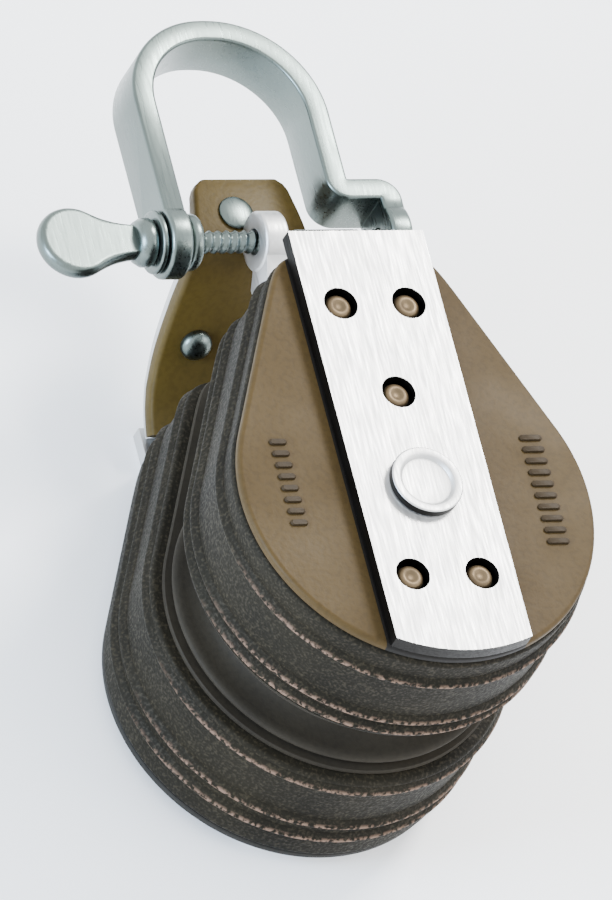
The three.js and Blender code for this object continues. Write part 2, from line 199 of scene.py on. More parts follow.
def product(nodes, links, first, second):
    """Two values multiplied."""
    node = nodes.new("ShaderNodeMath")
    node.operation = "MULTIPLY"
    links.new(first, node.inputs[0])
    links.new(second, node.inputs[1])
    return node.outputs[0]


def upright_faces(nodes, links, height):
    """1 on the faces above a height that stand square to the plate."""
    square = compare(nodes, links, "Normal", "Z", "LESS_THAN", 0.5, size=True)
    above = compare(nodes, links, "Object", "Z", "GREATER_THAN", height * MM)
    return product(nodes, links, square, above)


def roughen(nodes, links, shader, value, stops):
    """The shader's roughness by a ramp of (position, roughness) over a value."""
    rough = ramp(nodes, links, value, [(position, grey(level)) for position, level in stops])
    links.new(rough, shader.inputs["Roughness"])


# Painted shade for the upright walls of the front strap, its rivet holes and the axle head
PAINTED_WALL_SHADE = (0.012, 0.011, 0.010)
# Painted shadow of the front strap on the tan plate
PAINTED_STRAP_SHADOW = (0.006, 0.005, 0.004)


def steel(name, colour, roughness, grain, smudge, shade_walls_above=None):
    """Stainless steel with its grain rolled along Y and soft smudges.

    Faces standing square to the plate above a height in millimetres get painted shade.
    """
    material, nodes, links, shader = new_material(name, colour, roughness, 1.0)
    brushed = noise(nodes, links, 260, 6, (9, 0.6, 9))
    cloud = noise(nodes, links, 45, 3)
    tone = ramp(nodes, links, cloud, [(0.3, shaded(colour, smudge)), (0.65, colour)])
    streaks = ramp(nodes, links, brushed, [(0.35, grey(0.95)), (0.6, grey(1.0))])
    tone = mix(nodes, links, 1.0, tone, streaks, "MULTIPLY")
    if shade_walls_above:
        # Painted shade on the upright faces above the height
        edges = upright_faces(nodes, links, shade_walls_above)
        tone = mix(nodes, links, edges, tone, PAINTED_WALL_SHADE)
    links.new(tone, shader.inputs["Base Color"])
    roughen(nodes, links, shader, brushed, [(0.3, roughness * 0.8), (0.75, roughness * 1.35)])
    bump(nodes, links, shader, brushed, grain)
    return material


def moulded(name, colour, deep, roughness, under_strap=None):
    """Moulded plastic: fine grain and a slow drift of colour.

    Painted shadow lies under and along a strap of a half width in millimetres.
    """
    material, nodes, links, shader = new_material(name, colour, roughness, specular=0.14)
    drift = noise(nodes, links, 38, 5)
    speck = noise(nodes, links, 900, 2)
    base = ramp(nodes, links, drift, [(0.32, deep), (0.6, colour)])
    dots = ramp(nodes, links, speck, [(0.36, grey(0.86)), (0.55, grey(1.0))])
    tone = mix(nodes, links, 1.0, base, dots, "MULTIPLY")
    if under_strap:
        # Painted shadow under and beside the strap
        strap_shadow = beside_strap(nodes, links, under_strap)
        tone = mix(nodes, links, strap_shadow, tone, PAINTED_STRAP_SHADOW)
    links.new(tone, shader.inputs["Base Color"])
    roughen(nodes, links, shader, drift, [(0.3, roughness + 0.1), (0.7, roughness - 0.08)])
    bump(nodes, links, shader, speck, 0.00012, 0.6)
    return material


def grained_rubber():
    """Dark rubber: olive-black and speckled, with a painted pinkish-grey highlight in dots along
    its rib crests.
    """
    material, nodes, links, shader = new_material(
        "dark_grained_rubber", (0.020, 0.018, 0.014), 0.75, specular=0.07)
    speck = noise(nodes, links, 1700, 2)
    drift = noise(nodes, links, 55, 4)
    deep, light = (0.006, 0.0053, 0.0036), (0.0115, 0.0098, 0.0062)
    base = ramp(nodes, links, drift, [(0.3, deep), (0.68, light)])
    dots = ramp(nodes, links, speck, [(0.5, grey(0.0)), (0.7, (0.020, 0.016, 0.010))])
    grained = mix(nodes, links, 0.7, base, dots, "ADD")
    crest_highlight = nodes.new("ShaderNodeAttribute")
    crest_highlight.attribute_name = "crest_highlight"
    highlight_dots = noise(nodes, links, 1150, 2)
    broken_highlight = ramp(nodes, links, highlight_dots, [(0.44, grey(0.0)), (0.58, grey(1.0))])
    amount = product(nodes, links, crest_highlight.outputs["Fac"], broken_highlight)
    # Painted pinkish-grey highlight on the rib crests, broken into dots
    highlit_tone = mix(nodes, links, amount, grained, (0.155, 0.100, 0.072))
    links.new(highlit_tone, shader.inputs["Base Color"])
    roughen(nodes, links, shader, speck, [(0.3, 0.72), (0.7, 0.48)])
    bump(nodes, links, shader, speck, 0.00016, 0.7)
    return material


def turned_metal(name, colour, roughness):
    """Bronze: dull, slightly pitted and patchy."""
    material, nodes, links, shader = new_material(name, colour, roughness, 0.75)
    patch = noise(nodes, links, 320, 5)
    tone = ramp(nodes, links, patch, [(0.32, shaded(colour, 0.62)), (0.62, colour)])
    links.new(tone, shader.inputs["Base Color"])
    roughen(nodes, links, shader, patch, [(0.3, roughness + 0.15), (0.7, roughness - 0.05)])
    bump(nodes, links, shader, patch, 0.0001, 0.5)
    return material


def plain_grained(name, colour, roughness):
    """Floor: a very faint drift of tone."""
    material, nodes, links, shader = new_material(name, colour, roughness)
    drift = noise(nodes, links, 6, 3)
    tone = ramp(nodes, links, drift, [(0.3, shaded(colour, 0.985)), (0.7, colour)])
    links.new(tone, shader.inputs["Base Color"])
    return material


SATIN = {"colour": (0.60, 0.595, 0.585), "roughness": 0.46, "grain": 0.000015, "smudge": 0.96}
UNDER_FRONT_STRAP = TOTAL_Z - STRAP_T - 0.2
STRAP_SHADOW_SIDE = 0.45  # how far the painted strap shadow shows beside the strap

STAINLESS = steel("satin_stainless", **SATIN)
# Satin steel whose upright walls above the strap's underside get painted shade
SHADE_WALLED_STEEL = steel("stainless_painted_wall_shade", **SATIN, shade_walls_above=UNDER_FRONT_STRAP)
POLISHED = steel("polished_stainless", (0.130, 0.158, 0.148), 0.3, 0.00001, 0.85)
TAN = moulded("tan_moulding", (0.049, 0.030, 0.0085), (0.041, 0.025, 0.007), 0.55,
              under_strap=STRAP_HALF + STRAP_SHADOW_SIDE)
# The ticks' tan is darkened as painted shade around their relief
TICK_TAN_PAINTED_SHADE = moulded("tan_moulding_painted_shade", (0.027, 0.0175, 0.0075), (0.021, 0.0135, 0.006), 0.55)
HEAD_TAN = moulded("ochre_moulding", (0.062, 0.041, 0.0085), (0.050, 0.033, 0.007), 0.5)
DARK_PLASTIC = moulded("dark_moulding", (0.021, 0.019, 0.016), (0.016, 0.015, 0.013), 0.6)
RUBBER = grained_rubber()
BRONZE = turned_metal("dull_bronze", (0.115, 0.080, 0.042), 0.45)
ACETAL = moulded("black_acetal", (0.020, 0.0165, 0.0110), (0.014, 0.0115, 0.008), 0.7)


# Mesh building: everything is made in millimetres, and placed in metres


def mesh_object(name, verts, faces):
    """An object from points in millimetres, with its faces turned outward."""
    mesh = bpy.data.meshes.new(name)
    mesh.from_pydata([Vector(v) * MM for v in verts], [], faces)
    mesh.validate()
    outward = bmesh.new()
    outward.from_mesh(mesh)
    bmesh.ops.recalc_face_normals(outward, faces=outward.faces)
    outward.to_mesh(mesh)
    outward.free()
    made = bpy.data.objects.new(name, mesh)
    bpy.context.scene.collection.objects.link(made)
    return made


def baked(obj):
    """Applies the object's modifiers to its mesh."""
    graph = bpy.context.evaluated_depsgraph_get()
    mesh = bpy.data.meshes.new_from_object(obj.evaluated_get(graph))
    obj.modifiers.clear()
    obj.data = mesh
    return obj


def combine(obj, tools, operation):
    """Joins or cuts an object with tool objects, which are then removed."""
    for tool in tools:
        modifier = obj.modifiers.new("bool", "BOOLEAN")
        modifier.object = tool
        modifier.operation = operation
        modifier.solver = "EXACT"
    baked(obj)
    for tool in tools:
        bpy.data.objects.remove(tool)
    return obj


def softened(obj, width, segments=2, angle=32):
    """Rounds the edges sharper than an angle."""
    modifier = obj.modifiers.new("edges", "BEVEL")
    modifier.width = width * MM
    modifier.segments = segments
    modifier.limit_method = "ANGLE"
    modifier.angle_limit = math.radians(angle)
    return baked(obj)


SMOOTH_BELOW = math.radians(38)


def dress(obj, material, body, slot, *nodes):
    """Gives a piece its material, its body and the CAD nodes that it stands for. Its slot is not
    used.
    """
    obj.data.materials.clear()
    obj.data.materials.append(material)
    obj.data.shade_smooth()
    obj.data.set_sharp_from_angle(angle=SMOOTH_BELOW)
    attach(obj, body)
    if nodes:
        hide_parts(*nodes)
    return obj


def lofted(rings, looped):
    """Points and faces of a body from rings of equal length: looped into a tube, or capped."""
    count = len(rings[0])
    verts = [p for ring in rings for p in ring]
    faces = []
    for k in range(len(rings) if looped else len(rings) - 1):
        this, following = k * count, (k + 1) % len(rings) * count
        for i in range(count):
            j = (i + 1) % count
            faces.append((this + i, this + j, following + j, following + i))
    if not looped:
        faces.append(tuple(range(count - 1, -1, -1)))
        faces.append(tuple(range((len(rings) - 1) * count, len(rings) * count)))
    return verts, faces


def closed_rings(name, rings, looped=True):
    return mesh_object(name, *lofted(rings, looped))


def turned(name, profile, sides=64):
    """A turned piece about Z.

    The profile is (radius, height), going up the outside. It may start and end at radius 0.
    """
    verts, faces = [], []
    for radius, height in profile:
        for i in range(1 if radius == 0 else sides):
            angle = TURN * i / sides
            verts.append((radius * math.cos(angle), radius * math.sin(angle), height))
    starts, place = [], 0
    for radius, _ in profile:
        starts.append(place)
        place += 1 if radius == 0 else sides
    last = len(profile) - 1
    pairs = [(k, k + 1) for k in range(last)]
    if profile[0][0] > 0:
        pairs.append((last, 0))
    for low, high in pairs:
        for i in range(sides):
            j = (i + 1) % sides
            a, b, c, d = starts[low] + i, starts[low] + j, starts[high] + j, starts[high] + i
            if profile[low][0] == 0:
                faces.append((starts[low], c, d))
            elif profile[high][0] == 0:
                faces.append((a, b, starts[high]))
            else:
                faces.append((a, b, c, d))
    return mesh_object(name, verts, faces)


def placed(obj, matrix, offset):
    """Turns a mesh by a matrix and moves it by an offset in millimetres."""
    obj.data.transform(Matrix.Translation(Vector(offset) * MM) @ matrix.to_4x4())
    return obj


UPRIGHT = Matrix.Identity(3)
ALONG_X = Matrix.Rotation(QUARTER, 3, "Y")
ALONG_Y = Matrix.Rotation(-QUARTER, 3, "X")


def arc(across, up, radius, start, end, steps):
    """Points round part of a circle, with both its ends."""
    angles = (start + (end - start) * i / steps for i in range(steps + 1))
    return [(across + radius * math.cos(a), up + radius * math.sin(a)) for a in angles]


def collar(name, inner, outer, low, high, rounding):
    """A ring about Z with rounded outer edges."""
    flat = outer - rounding
    profile = [(inner, low), *arc(flat, low + rounding, rounding, -QUARTER, 0, 5),
               *arc(flat, high - rounding, rounding, 0, QUARTER, 5), (inner, high)]
    return turned(name, profile)


def pin_ring(name, inner, outer, low, high, rounding, x=0):
    """A collar round the shackle pin's axis."""
    return placed(collar(name, inner, outer, low, high, rounding), ALONG_X, (x, PIN_Y, PIN_Z))


def plug(radius, low, high, sides=40):
    """A plain cylinder about Z, for cutting and joining."""
    return turned("tool", [(0, low), (radius, low), (radius, high), (0, high)], sides)


def rounded_rect(half_u, half_v, radius, steps=4):
    """Points round a rectangle with round corners."""
    points = []
    corners = ((1, 1, 0), (-1, 1, 1), (-1, -1, 2), (1, -1, 3))
    for su, sv, quarter in corners:
        for i in range(steps + 1):
            angle = (quarter + i / steps) * math.pi / 2
            points.append((su * (half_u - radius) + radius * math.cos(angle),
                           sv * (half_v - radius) + radius * math.sin(angle)))
    return points


def sweep(name, path, side, sections):
    """A bar along a path.

    Each section is (normal offset, side offset) points; side is the fixed cross direction.
    """
    path = [Vector(p) for p in path]
    side = Vector(side)
    rings = []
    for i, point in enumerate(path):
        tangent = (path[min(i + 1, len(path) - 1)] - path[max(i - 1, 0)]).normalized()
        normal = side.cross(tangent)
        rings.append([point + normal * u + side * v for u, v in sections[i]])
    return closed_rings(name, rings, looped=False)


def filleted(corners, steps=14):
    """A line through corners of (x, y, radius), each rounded by its radius."""
    points = [Vector(corners[0][:2])]
    for before, corner, after in zip(corners, corners[1:], corners[2:]):
        here = Vector(corner[:2])
        to_before = (Vector(before[:2]) - here).normalized()
        to_after = (Vector(after[:2]) - here).normalized()
        half = to_before.angle(to_after) / 2
        reach = corner[2] / math.tan(half)
        centre = here + (to_before + to_after).normalized() * corner[2] / math.sin(half)
        start = here + to_before * reach - centre
        sweep_angle = start.angle_signed(here + to_after * reach - centre)
        for i in range(steps + 1):
            points.append(centre + Matrix.Rotation(-sweep_angle * i / steps, 2) @ start)
    points.append(Vector(corners[-1][:2]))
    return points


# The cheeks' teardrop outline

OUTLINE_STEPS = 360
CORNER_BLEND = 26  # the higher, the sharper the corners between the flanks and the top


def teardrop_radius(angle, offset):
    """Distance from the axle to the outline in a direction, corners blended."""
    radius = BODY_R + offset
    rise = math.asin(math.sin(angle))
    if rise <= FLANK:
        return radius
    flank = radius / math.cos(rise - FLANK)
    ceiling = CHEEK_TOP / math.sin(rise)
    return (flank ** -CORNER_BLEND + ceiling ** -CORNER_BLEND) ** (-1 / CORNER_BLEND)


def teardrop_ring(offset, height):
    ring = []
    for i in range(OUTLINE_STEPS):
        angle = TURN * i / OUTLINE_STEPS
        radius = teardrop_radius(angle, offset)
        ring.append((radius * math.cos(angle), radius * math.sin(angle), height))
    return ring


def circle_ring(radius, height):
    angles = (TURN * i / OUTLINE_STEPS for i in range(OUTLINE_STEPS))
    return [(radius * math.cos(a), radius * math.sin(a), height) for a in angles]


def highlight_share(step):
    """1 on the cheeks' round end, fading to 0 on the flanks: how much painted highlight the rib
    crests get.
    """
    down = -math.sin(TURN * step / OUTLINE_STEPS)
    fade_from, fade_over = 0.15, 0.5
    return clamped((down - fade_from) / fade_over)


def cheek_layer(name, levels, bore):
    """A teardrop layer with a bore. levels are (height, offset, crest highlight), going up."""
    rings = [teardrop_ring(offset, height) for height, offset, _ in levels]
    rings += [circle_ring(bore, levels[-1][0]), circle_ring(bore, levels[0][0])]
    made = closed_rings(name, rings)
    crests = [crest_highlight * highlight_share(i) for _, _, crest_highlight in levels for i in range(OUTLINE_STEPS)]
    crests += [0.0] * (2 * OUTLINE_STEPS)
    # Stored per point for the rubber's painted highlight on the rib crests
    attribute = made.data.attributes.new("crest_highlight", "FLOAT", "POINT")
    attribute.data.foreach_set("value", crests)
    return made


def shell_levels(low, high, ribs):
    """Wall of a shell: rounded ribs with shallow grooves beside them, and soft ends."""
    rib_height, rib_half, groove, edge, steps = 0.9, 1.5, 0.25, 1.0, 6
    angles = (0.4, 0.8, 1.2, QUARTER)
    rounded = [(edge * (1 - math.cos(a)), -edge * (1 - math.sin(a))) for a in angles]
    levels = [(low, -edge, 0.0), *((low + up, offset, 0.0) for up, offset in rounded)]
    for rib in ribs:
        for i in range(-steps, steps + 1):
            share = i / steps
            lift = 0.5 + 0.5 * math.cos(math.pi * share)
            offset = rib_height * lift - groove * (abs(share) > 0.9)
            crest_highlight = max(0.0, 2.4 * lift - 1.4)
            levels.append((rib + rib_half * share, offset, crest_highlight))
    levels += [(high - down, offset, 0.0) for down, offset in reversed(rounded)]
    levels.append((high, -edge, 0.0))
    return levels


def plate_levels(low, high, outward):
    """Side of a face plate: straight, then rounded over to its outer face."""
    bevel, chamfer, steps = 1.0, 0.2, 8
    angles = [QUARTER * i / steps for i in range(steps + 1)]
    over = [(high - bevel + bevel * math.sin(a), -PLATE_INSET - bevel * (1 - math.cos(a)), 0.0)
            for a in angles]
    levels = [(low, -PLATE_INSET - chamfer, 0.0), (low + chamfer, -PLATE_INSET, 0.0), *over]
    if outward < 0:
        levels = [(low + high - z, offset, crest_highlight) for z, offset, crest_highlight in reversed(levels)]
    return levels


BORE = 9.8  # of the shells and face plates
LINER_BORE = 6.4
FRONT_RIBS = (23.4, 19.8, 6.6)  # rib centres, in from the shell's outer face
REAR_RIBS = (6.6, 11.2, 23.4)


def make_cheek(side, outward, body):
    """Shell, face plate and liner of one cheek."""
    low, high = box_mm(f"{side}_shell")
    if outward > 0:
        ribs = [high.z - depth for depth in FRONT_RIBS]
    else:
        ribs = [low.z + depth for depth in REAR_RIBS]
    shell = cheek_layer(f"{side}_ribbed_shell", shell_levels(low.z, high.z, ribs), BORE)
    dress(shell, RUBBER, body, "dark_rubber", f"{side}_shell")

    low, high = box_mm(f"{side}_face_plate")
    plate = cheek_layer(f"{side}_moulded_plate", plate_levels(low.z, high.z, outward), BORE)
    finish, slot = (TAN, "tan_plastic") if outward > 0 else (DARK_PLASTIC, "dark_plastic")
    dress(plate, finish, body, slot, f"{side}_face_plate")

    low, high = box_mm(f"{side}_liner")
    inset, edge = high.x - BODY_R, 0.3
    levels = [(low.z, inset - edge, 0.0), (low.z + edge, inset, 0.0),
              (high.z - edge, inset, 0.0), (high.z, inset - edge, 0.0)]
    liner = cheek_layer(f"{side}_side_liner", levels, LINER_BORE)
    dress(liner, ACETAL, body, "black_acetal", f"{side}_liner")


TICK_ROWS = (  # (hand, x, middle y, count, length)
    ("left", -25.8, 2.8, 8, 3.6),
    ("right", 26.2, 0.6, 10, 4.6),
)
TICK_PITCH = 2.5
TICK_HALF = 0.62
TICK_ROUNDING = 0.6
TICK_LEVELS = ((-0.2, 1.0), (0.3, 1.0), (0.55, 0.82))  # (lift, share of the full size)


def make_ticks(side, face, outward, body, finish, slot):
    """Raised grip ticks moulded on a plate, in a row either side of the strap."""
    for hand, x, middle, count, length in TICK_ROWS:
        section = rounded_rect(length / 2, TICK_HALF, TICK_ROUNDING)
        verts, faces = [], []
        for n in range(count):
            y = middle + (n - (count - 1) / 2) * TICK_PITCH
            rings = [[(x + u * share, y + v * share, face + outward * lift) for u, v in section]
                     for lift, share in TICK_LEVELS]
            tick_verts, tick_faces = lofted(rings, looped=False)
            faces += [tuple(len(verts) + i for i in tick_face) for tick_face in tick_faces]
            verts += tick_verts
        ticks = mesh_object(f"{side}_grip_ticks_{hand}", verts, faces)
        dress(ticks, finish, body, slot)


def strap_blank(name, low, high, top, reach):
    """The strap's flat part: straight sides, a square top and a bottom rounded about the axle."""
    steps = 24
    edge = math.acos(STRAP_HALF / reach)
    outline = [(STRAP_HALF, top), (-STRAP_HALF, top)]
    for i in range(steps + 1):
        angle = math.pi + edge + (math.pi - 2 * edge) * i / steps
        outline.append((reach * math.cos(angle), reach * math.sin(angle)))
    rings = [[(x, y, z) for x, y in outline] for z in (low, high)]
    return closed_rings(name, rings, looped=False)


HOLE_R = 3.4
STRAP_BORE = 6.3  # clearance round the axle
TONGUE_HALF = 7.0  # half width of the front strap's bent-back tongue


def strap_holes(side, low, high):
    """Cutting tools for a strap's rivet holes and its axle bore."""
    holes = [placed(plug(HOLE_R, low - 1, high + 1), UPRIGHT, (x, y, 0))
             for x, y in rivet_places(side)]
    return [plug(STRAP_BORE, low - 1, high + 1, 64), *holes]


def make_front_strap():
    """Flat strap with a tongue bent back from its top, whose slot opens to the right."""
    stud_low, stud_high = box_mm("latch_stud")
    slot_z, slot_half = (stud_low.z + stud_high.z) / 2, 2.7
    bend, half_t = 1.8, STRAP_T / 2
    overlap = 12  # length of the tongue's bar that lies in the flat part
    short = 0.4  # the flat part stops below the outside of the bend
    tongue_y, flat_z = STRAP_TOP - half_t, TOTAL_Z - half_t
    corners = [(STRAP_TOP - overlap, flat_z, 0), (tongue_y, flat_z, bend),
               (tongue_y, strap_low.z, 0)]
    path = [(0, p.x, p.y) for p in filleted(corners)]
    section = [(half_t, -TONGUE_HALF), (-half_t, -TONGUE_HALF),
               (-half_t, TONGUE_HALF), (half_t, TONGUE_HALF)]
    tongue = sweep("tool", path, (1, 0, 0), [section] * len(path))
    strap = strap_blank("front_strap_plate", TOTAL_Z - STRAP_T, TOTAL_Z,
                        STRAP_TOP - short, -strap_low.y)
    combine(strap, [tongue], "UNION")
    slot = placed(plug(slot_half, -3, 3), ALONG_Y, (0, tongue_y, slot_z))
    reach = STRAP_HALF + 2
    outline = [(0, -slot_half), (reach, -slot_half), (reach, slot_half), (0, slot_half)]
    rings = [[(x, y, slot_z + z) for x, z in outline]
             for y in (STRAP_TOP + 2, STRAP_TOP - STRAP_T - 2)]
    mouth = closed_rings("tool", rings, looped=False)
    holes = strap_holes("front", TOTAL_Z - STRAP_T, TOTAL_Z)
    combine(strap, [slot, mouth, *holes], "DIFFERENCE")
    softened(strap, 0.32)
    # The strap's side walls and rivet hole walls get painted shade
    dress(strap, SHADE_WALLED_STEEL, "opening_cheek", "stainless", "front_strap")


# The head: rear strap's bent end and tan shoulder, both along one curve seen from the side

SHOULDER_STEPS = 48
SHOULDER_T = 3.5


def spline(points, steps):
    """A uniform Catmull-Rom curve through points, as in the CAD."""
    made = []
    last = len(points) - 1
    for step in range(steps + 1):
        place = last * step / steps
        k = min(int(place), last - 1)
        w = place - k
        before, after = points[max(k - 1, 0)], points[min(k + 2, last)]
        coords = []
        for a, b, c, d in zip(before, points[k], points[k + 1], after):
            leaving, arriving = (c - a) / 2, (d - b) / 2
            cubic = 2 * b - 2 * c + leaving + arriving
            square = -3 * b + 3 * c - 2 * leaving - arriving
            coords.append(cubic * w ** 3 + square * w ** 2 + leaving * w + b)
        made.append(Vector(coords))
    return made


TAB_Z = box_mm("head_shoulder")[1].z
SHOULDER = spline(
    [(54.8, 8.2), (60, 10.8), (66, 17.2), (70.4, 26.5), (73.2, 34.6), (76.6, TAB_Z - 1.4),
     (81, TAB_Z), (91.0, TAB_Z)],
    SHOULDER_STEPS,
)
HEAD_WIDTHS = (  # (height, half width), from the shoulder up to the rounded tab
    (50, 14.2), (62, 14.2), (72, 12.8), (84, 10.8), (89.2, 9.8), (90.4, 9.0), (91.3, 7.6),
)


def shoulder_tangent(step):
    """Direction of the shoulder's curve at a step."""
    ahead, behind = SHOULDER[min(step + 1, SHOULDER_STEPS)], SHOULDER[max(step - 1, 0)]
    return (ahead - behind).normalized()


def head_half(y):
    """Half width of the head at a height."""
    for (y0, half0), (y1, half1) in zip(HEAD_WIDTHS, HEAD_WIDTHS[1:]):
        if y <= y1:
            return half0 + (half1 - half0) * max(0.0, (y - y0)) / (y1 - y0)
    return HEAD_WIDTHS[-1][1]


def head_band(name, outer, inner, inset):
    """A band behind the shoulder's front surface, between two distances from it."""
    middle = (outer + inner) / 2
    path, sections = [], []
    for step, point in enumerate(SHOULDER):
        tangent = shoulder_tangent(step)
        path.append((0, point.x - tangent.y * middle, point.y + tangent.x * middle))
        half = head_half(point.x) - inset
        sections.append(rounded_rect((outer - inner) / 2, half, 0.9))
    return sweep(name, path, (1, 0, 0), sections)


def make_head():
    """Tan shoulder, and the rear strap with its end bent up behind it."""
    shoulder = head_band("tan_head_shoulder", 0, -SHOULDER_T, 0)
    dress(shoulder, HEAD_TAN, "fixed_cheek", "tan_plastic", "head_shoulder")
    flat_top = 59.5
    narrower = 1.2
    front = -SHOULDER_T - GAP
    strap = strap_blank("rear_strap_plate", 0, STRAP_T, flat_top, -box_mm("rear_strap")[0].y)
    bent = head_band("tool", front, front - STRAP_T, narrower)
    combine(strap, [bent], "UNION")
    combine(strap, strap_holes("rear", 0, STRAP_T), "DIFFERENCE")
    softened(strap, 0.3)
    dress(strap, STAINLESS, "fixed_cheek", "stainless", "rear_strap")


def make_lug():
    """Lug that carries the shackle pin, its arm down to the latch stud, and the stud."""
    lug_low, lug_high = box_mm("head_lug")
    stud_low, stud_high = box_mm("latch_stud")
    stud_z = (stud_low.z + stud_high.z) / 2
    lug_r, half = 5.8, lug_high.x
    lug = pin_ring("head_pin_lug", PIN_HOLE_R, lug_r, -half, half, 0.7)
    root, arm_half = PIN_Y - 4.0, half - 0.25
    arm_top, arm_bottom = stud_z + 3.4, stud_z - 3.2
    outline = [(root, PIN_Z + 3.6), (64, arm_top), (lug_low.y, arm_top),
               (lug_low.y, arm_bottom), (68, arm_bottom), (root, PIN_Z - 3.8)]
    rings = [[(x, y, z) for y, z in outline] for x in (-arm_half, arm_half)]
    arm = closed_rings("tool", rings, looped=False)
    combine(lug, [arm], "UNION")
    softened(lug, 0.25)
    dress(lug, STAINLESS, "fixed_cheek", "stainless", "head_lug")

    shank = 2.0
    profile = [(0, 48.6), (2.9, 48.6), (3.4, 48.8), (3.7, 49.3), (3.7, 50.4), (3.4, 50.9),
               (2.4, 51.1), (shank, 51.6), (shank, stud_high.y), (0, stud_high.y)]
    stud = placed(turned("latch_stud_pin", profile, 40), ALONG_Y, (0, 0, stud_z))
    dress(stud, STAINLESS, "fixed_cheek", "stainless", "latch_stud")


def button_profile(radius, height):
    """A domed head that stands just clear of its surface, going up."""
    base, chamfer, steps = 0.1, 0.15, 10
    rim = 0.25 * height
    points = [(0, base), (radius - chamfer, base), (radius, base + chamfer), (radius, base + rim)]
    for i in range(1, steps):
        angle = QUARTER * i / steps
        points.append((radius * math.cos(angle), base + rim + (height - rim) * math.sin(angle)))
    points.append((0, base + height))
    return points


def make_small_fasteners():
    """Two dome rivets on the shoulder and a flat one on the tab."""
    dome = button_profile(3.1, 2.6)
    flat = button_profile(3.5, 1.1)
    step = SHOULDER_STEPS // 3
    place, tangent = SHOULDER[step], shoulder_tangent(step)
    lean = Matrix.Rotation(math.atan2(tangent.y, tangent.x), 3, "X")
    for hand in ("left", "right"):
        low, high = box_mm(f"shoulder_dome_rivet_{hand}")
        rivet = placed(turned(f"dome_rivet_{hand}", dome, 48), lean,
                       ((low.x + high.x) / 2, place.x, place.y))
        dress(rivet, POLISHED, "fixed_cheek", "polished", f"shoulder_dome_rivet_{hand}")
    low, high = box_mm("tab_disc_rivet")
    disc = placed(turned("tab_flat_rivet", flat, 48), UPRIGHT,
                  ((low.x + high.x) / 2, (low.y + high.y) / 2, TAB_Z))
    dress(disc, POLISHED, "fixed_cheek", "polished", "tab_disc_rivet")


def make_strap_rivets(side, outward, body):
    """Bronze heads sunk in the strap's holes, each with a turned ring and a dimple."""
    profile = [(0, 0), (1.9, 0), (2.4, 0.1), (2.55, 0.4), (2.55, 1.3), (2.4, 1.75), (2.1, 2.0),
               (1.6, 2.15), (1.2, 2.1), (0.8, 1.85), (0.35, 1.75), (0, 1.73)]
    clear = 0.05
    turn = UPRIGHT if outward > 0 else Matrix.Rotation(math.pi, 3, "X")
    base = TOTAL_Z - STRAP_T + clear if outward > 0 else STRAP_T - clear
    for number, (x, y) in enumerate(rivet_places(side), 1):
        rivet = placed(turned(f"{side}_strap_rivet_{number}", profile, 40), turn, (x, y, base))
        dress(rivet, BRONZE, body, "bronze", f"{side}_rivet_{number}")


def make_axle():
    """Axle with a round head on the front strap, its rim raised."""
    top, radius, shank, rounding = axle_high.z, AXLE_HEAD_R, 6.0, 0.35
    base = TOTAL_Z + GAP
    profile = [(0, 0), (shank - 0.4, 0), (shank, 0.4), (shank, base), (radius - 0.2, base),
               (radius, base + 0.2),
               *arc(radius - rounding, top - rounding, rounding, 0, QUARTER, 6),
               (5.6, top), (5.3, top - 0.15), (4.9, top - 0.7), (4.5, top - 0.8),
               (1.2, top - 0.75), (0, top - 0.75)]
    axle = turned("axle_pin", profile, 96)
    # The side wall of the axle head gets painted shade, seen as a dark crescent
    dress(axle, SHADE_WALLED_STEEL, "fixed_cheek", "stainless", "axle")


def make_sheave():
    """Wheel with a round rope groove and a shallow recess in each side."""
    low, high = box_mm("sheave")
    rim, middle = high.x, (high.z + low.z) / 2
    groove_half, groove_floor, lip, recess, steps = 4.4, 26.0, 0.7, 0.5, 20
    side = [(9.8, low.z), (12.5, low.z), (13.1, low.z + recess), (28.5, low.z + recess),
            (29.1, low.z), (rim - lip, low.z)]
    side += arc(rim - lip, low.z + lip, lip, -QUARTER, QUARTER, 6)[1:-1]
    mouth = rim - lip - 0.3
    angles = [-QUARTER + math.pi * i / steps for i in range(steps + 1)]
    groove = [(mouth - (mouth - groove_floor) * math.cos(a), middle + groove_half * math.sin(a))
              for a in angles]
    mirror = [(r, 2 * middle - z) for r, z in reversed(side)]
    wheel = turned("rope_sheave", side + groove + mirror, 128)
    dress(wheel, ACETAL, "sheave_wheel", "black_acetal", "sheave")


# Shackle and screw pin


LEDGE_Y = 85.2  # top of the jog in the right leg
RIGHT_LEG_X = 17.3  # outside of the right leg above the jog


